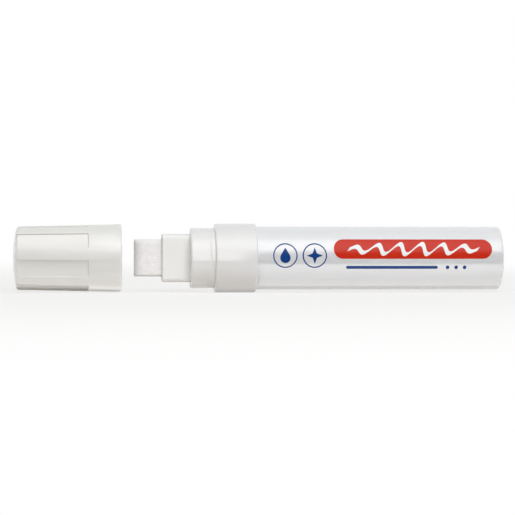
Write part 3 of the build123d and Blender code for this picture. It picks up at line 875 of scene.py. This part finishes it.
# %% Rule and dots
RULE_LEFT, RULE_RIGHT = 34.5, 72.0
RULE_UP = -3.4
RULE_LINE = 1.2
DOT_WIDTH = 1.5
DOTS_X = (76.0, 79.5, 83.0)
rule = start_sign((RULE_LEFT + RULE_RIGHT) / 2, RULE_UP, RULE_RIGHT - RULE_LEFT, RULE_LINE)
round_ends(RULE_LINE, segments=8)
dots = [start_sign(x, RULE_UP, DOT_WIDTH, DOT_WIDTH, corners=24) for x in DOTS_X]
rule_and_dots = lay_on_barrel("rule_and_dots", [rule, *dots], "blue_print", INK_RISE)

# %% [markdown]
# ## Finishes
# Each finish starts from an empty node tree: the pattern nodes read where a point lies on the
# piece, in metres, so the size of a pattern is one over its size in metres. The Principled shader
# goes in last, fed by the patterns, with typical values of the real material. A finish is then
# put in the material slot of every piece or CAD node that is made of it.


# %% Finish helpers
def start_finish(name):
    """Starts a finish and hands back the material, its empty tree and the place on the piece."""
    finish = bpy.data.materials.new(name)
    tree = empty_tree(finish)
    return finish, tree, add_node(tree, "ShaderNodeTexCoord").outputs["Object"]


def close_finish(tree, settings, links):
    """Adds the Principled shader with its settings and links and sends it to the output."""
    shader = add_node(tree, "ShaderNodeBsdfPrincipled", settings, links)
    add_node(tree, "ShaderNodeOutputMaterial", None, {"Surface": shader.outputs[0]})


def per_mm(size):
    """Scale of a pattern whose features are about this many mm across."""
    return 1 / (size * MM)


def dress(finish, *pieces):
    """Puts a finish in the material slot of pieces or CAD nodes."""
    for piece in pieces:
        if not piece.material_slots:
            piece.data.materials.append(None)
        piece.material_slots[0].material = finish
    print(finish.name, "on", len(pieces), "pieces")


# %% [markdown]
# ### Glossy barrel
# The barrel is polypropylene, moulded in polished steel and varnished before it is printed. It is
# the most mirror-like surface here, so it shows the white card as a clear band. Pulling it from
# the mould leaves faint lengthwise lines, drawn here as noise stretched along the barrel.

# %% Polished polypropylene
# Polished moulded polypropylene, varnished: cool white, its clear reflection wavers slightly.
barrel_finish, tree, place = start_finish("polished moulded polypropylene, varnished")
stretched = add_node(tree, "ShaderNodeMapping", {"Scale": (0.02, 1, 1)}, {"Vector": place})
lines = add_node(
    tree,
    "ShaderNodeTexNoise",
    {"Scale": per_mm(0.8), "Detail": 2},
    {"Vector": stretched.outputs[0]},
)
clouds = add_node(tree, "ShaderNodeTexNoise", {"Scale": per_mm(14), "Detail": 3}, {"Vector": place})
tone = add_node(
    tree,
    "ShaderNodeMix",
    {"data_type": "RGBA", 6: linear("DFE0E1"), 7: linear("DBDCDD")},
    {0: clouds.outputs[0]},
)
gloss = add_node(tree, "ShaderNodeMapRange", {3: 0.15, 4: 0.21}, {0: lines.outputs[0]})
relief = add_node(
    tree, "ShaderNodeBump", {"Strength": 0.04, "Distance": 0.01 * MM}, {"Height": lines.outputs[0]}
)
close_finish(
    tree,
    {
        "IOR": 1.49,
        "Specular IOR Level": 1.0,
        "Coat Weight": 1.0,
        "Coat Roughness": 0.16,
        "Coat IOR": 1.9,
    },
    {"Base Color": tone.outputs[2], "Roughness": gloss.outputs[0], "Normal": relief.outputs[0]},
)
dress(barrel_finish, barrel, nodes["barrel"])

# %% [markdown]
# ### Satin cap, collar, neck and mouthpiece
# These are polypropylene too, but from moulds whose steel was spark-eroded, which leaves a grain
# of tiny craters. It spreads the light into a broad soft sheen. On all but the mouthpiece a thin
# skin, the shader's coat, is smoother and mirrors big bright cards faintly, so neck and collar
# darken at a clear line. The four are moulded apart and differ a little in shade. Part of that is
# painted light: the mouthpiece is made paler because its flat front gets less light than the round
# parts. So one function makes each its own finish.


# %% Satin polypropylene
def satin_polypropylene(name, pale, deep, roughness, skin, blur):
    """Satin moulded polypropylene: soft sheen from craters, faint clouds, and a smoother skin."""
    finish, tree, place = start_finish(name)
    clouds = add_node(
        tree, "ShaderNodeTexNoise", {"Scale": per_mm(9), "Detail": 3}, {"Vector": place}
    )
    tone = add_node(
        tree,
        "ShaderNodeMix",
        {"data_type": "RGBA", 6: linear(pale), 7: linear(deep)},
        {0: clouds.outputs[0]},
    )
    # Real craters are about 0.05 mm wide. They are drawn at 0.35 mm so that close views show them.
    craters = add_node(
        tree, "ShaderNodeTexNoise", {"Scale": per_mm(0.35), "Detail": 2}, {"Vector": place}
    )
    sheen = add_node(
        tree,
        "ShaderNodeMapRange",
        {3: roughness - 0.05, 4: roughness + 0.05},
        {0: craters.outputs[0]},
    )
    relief = add_node(
        tree,
        "ShaderNodeBump",
        {"Strength": 0.12, "Distance": 0.02 * MM},
        {"Height": craters.outputs[0]},
    )
    close_finish(
        tree,
        {"IOR": 1.49, "Coat Weight": skin, "Coat Roughness": blur, "Coat IOR": 1.55},
        {"Base Color": tone.outputs[2], "Roughness": sheen.outputs[0], "Normal": relief.outputs[0]},
    )
    return finish


cap_finish = satin_polypropylene(
    "satin moulded polypropylene, cap", "E4E3DE", "E0DFDA", roughness=0.45, skin=1.0, blur=0.2
)
collar_finish = satin_polypropylene(
    "satin moulded polypropylene, collar", "E4E3E1", "E0DFDD", roughness=0.42, skin=1.0, blur=0.1
)
neck_finish = satin_polypropylene(
    "satin moulded polypropylene, neck", "E6E5E3", "E3E2DF", roughness=0.42, skin=1.0, blur=0.1
)
# The mouthpiece's paler white is painted light, making up for the light its flat front lacks.
mouth_finish_with_painted_light = satin_polypropylene(
    "satin moulded polypropylene, mouthpiece", "EFEEEB", "EBEAE7", roughness=0.5, skin=0.0, blur=0.1
)
dress(cap_finish, cap, nodes["cap_shell"])
dress(collar_finish, nodes["collar"])
dress(neck_finish, nodes["neck"])
dress(mouth_finish_with_painted_light, nodes["mouthpiece"])

# %% [markdown]
# ### Felt
# Polyester fibre, pressed and bonded into a bar. The fibres run mostly along the bar, so the felt
# shows short pale and grey streaks in that direction, with softer blotches where it is denser. It
# has no shine at all. Noise stretched along X gives the streaks and round noise the blotches.

# %% Pressed felt
# Pressed polyester felt: dull, with fine streaks along the nib and a fuzzy, uneven shade.
felt_finish, tree, place = start_finish("pressed polyester felt")
stretched = add_node(tree, "ShaderNodeMapping", {"Scale": (0.18, 1, 1)}, {"Vector": place})
# Single fibres are about 0.02 mm thick. Streaks of 0.4 mm stand for bundles of them.
fibres = add_node(
    tree,
    "ShaderNodeTexNoise",
    {"Scale": per_mm(0.4), "Detail": 4, "Roughness": 0.65},
    {"Vector": stretched.outputs[0]},
)
blotches = add_node(
    tree, "ShaderNodeTexNoise", {"Scale": per_mm(2.2), "Detail": 3}, {"Vector": place}
)
streaks = add_node(
    tree, "ShaderNodeMapRange", {1: 0.3, 2: 0.7, 3: 0.0, 4: 1.0}, {0: fibres.outputs[0]}
)
fibre_tone = add_node(
    tree,
    "ShaderNodeMix",
    {"data_type": "RGBA", 6: linear("EBE9E7"), 7: linear("FBF9F8")},
    {0: streaks.outputs[0]},
)
dense = add_node(
    tree, "ShaderNodeMapRange", {1: 0.35, 2: 0.75, 3: 0.0, 4: 0.5}, {0: blotches.outputs[0]}
)
tone = add_node(
    tree,
    "ShaderNodeMix",
    {"data_type": "RGBA", 7: linear("E6E4E2")},
    {0: dense.outputs[0], 6: fibre_tone.outputs[2]},
)
dull = add_node(tree, "ShaderNodeMapRange", {3: 0.85, 4: 0.98}, {0: fibres.outputs[0]})
relief = add_node(
    tree, "ShaderNodeBump", {"Strength": 0.35, "Distance": 0.06 * MM}, {"Height": fibres.outputs[0]}
)
close_finish(
    tree,
    {"IOR": 1.5, "Specular IOR Level": 0.2, "Sheen Weight": 0.15, "Sheen Roughness": 0.6},
    {"Base Color": tone.outputs[2], "Roughness": dull.outputs[0], "Normal": relief.outputs[0]},
)
dress(felt_finish, felt_nib, nodes["nib"])

# %% [markdown]
# ### Inner cap and valve plastics
# The inner cap is soft polyethylene, a little waxy, and light travels a short way into it. The
# valve pieces are acetal, harder and slicker, the natural ivory white of the bare plastic. Both
# are moulded smooth, so only faint clouds and a slight waver of the gloss show. One noise gives
# both, and as rubber, steel and ink below need no more than that, a function makes such finishes.


# %% Clouded finishes
def clouded(name, size, colours, roughness, settings, detail=3):
    """Finish whose colour and roughness waver together, in clouds about so many mm across."""
    finish, tree, place = start_finish(name)
    clouds = add_node(
        tree, "ShaderNodeTexNoise", {"Scale": per_mm(size), "Detail": detail}, {"Vector": place}
    )
    tone = add_node(
        tree,
        "ShaderNodeMix",
        {"data_type": "RGBA", 6: linear(colours[0]), 7: linear(colours[1])},
        {0: clouds.outputs[0]},
    )
    shine = add_node(
        tree, "ShaderNodeMapRange", {3: roughness[0], 4: roughness[1]}, {0: clouds.outputs[0]}
    )
    close_finish(tree, settings, {"Base Color": tone.outputs[2], "Roughness": shine.outputs[0]})
    return finish


# %% Polyethylene and acetal
# Moulded polyethylene: milky and waxy, with a dull soft shine.
inner_finish = clouded(
    "moulded polyethylene",
    size=6,
    colours=("F0F0EC", "E8E8E3"),
    roughness=(0.36, 0.46),
    settings={
        "IOR": 1.51,
        "Subsurface Weight": 0.15,
        "Subsurface Radius": (MM, MM, MM),
        "Subsurface Scale": 0.6,
    },
)
dress(inner_finish, nodes["inner_cap"])

# Moulded acetal: ivory white and slick, with a tighter shine than the caps.
acetal_finish = clouded(
    "moulded acetal",
    size=4,
    colours=("E8E6DE", "E0DDD3"),
    roughness=(0.24, 0.34),
    settings={"IOR": 1.48},
)
dress(acetal_finish, *[nodes[n] for n in ("nib_carrier", "valve_seat", "valve_stem", "valve_cage")])

# %% [markdown]
# ### Seals and steel
# The rings that keep the ink in are nitrile rubber, dark grey and dull, with a paler bloom that
# rises to the surface with time. The spring is drawn stainless wire and the two mixing balls are
# ground steel. Both are bare metal, so their colour is the colour of what they reflect.

# %% Rubber and steel
# Moulded nitrile rubber: dull dark grey with cloudy pale bloom.
rubber_finish = clouded(
    "moulded nitrile rubber",
    size=1.5,
    colours=("3C3C3E", "59595B"),
    roughness=(0.6, 0.8),
    settings={"IOR": 1.52},
    detail=4,
)
dress(rubber_finish, *[nodes[n] for n in ("neck_gasket", "seat_o_ring", "valve_seal", "cap_seal")])

# Drawn and ground stainless steel: bright grey, with fine marks that blur what it reflects.
steel_finish = clouded(
    "ground stainless steel",
    size=0.3,
    colours=("C9C9C8", "BDBDBC"),
    roughness=(0.18, 0.32),
    settings={"Metallic": 1.0},
)
dress(steel_finish, spring, *[nodes[n] for n in ("valve_spring", "mixing_ball_1", "mixing_ball_2")])

# %% [markdown]
# ### Inks
# Screen-printed ink is squeezed through a mesh and dries to a film that is a little thicker here
# and thinner there, so its colour is never quite even. It is glossy, but less so than the barrel,
# whose reflections stop at its edge. One function makes the three colours.


# %% Screen inks
def screen_ink(name, full, thin):
    """Screen-printed ink: a strong colour, slightly uneven, with a plain gloss."""
    # A mesh has about 5 threads to the mm. The unevenness is drawn at 0.6 mm so that it shows.
    return clouded(
        name, size=0.6, colours=(full, thin), roughness=(0.16, 0.24), settings={"IOR": 1.38}
    )


dress(screen_ink("screen ink, red", "C0240F", "C72E16"), red_bar)
dress(screen_ink("screen ink, blue", "0C3779", "144283"), ringed_signs, rule_and_dots)
dress(screen_ink("screen ink, white", "EFEFEE", "E8E8E7"), chalk_stroke)
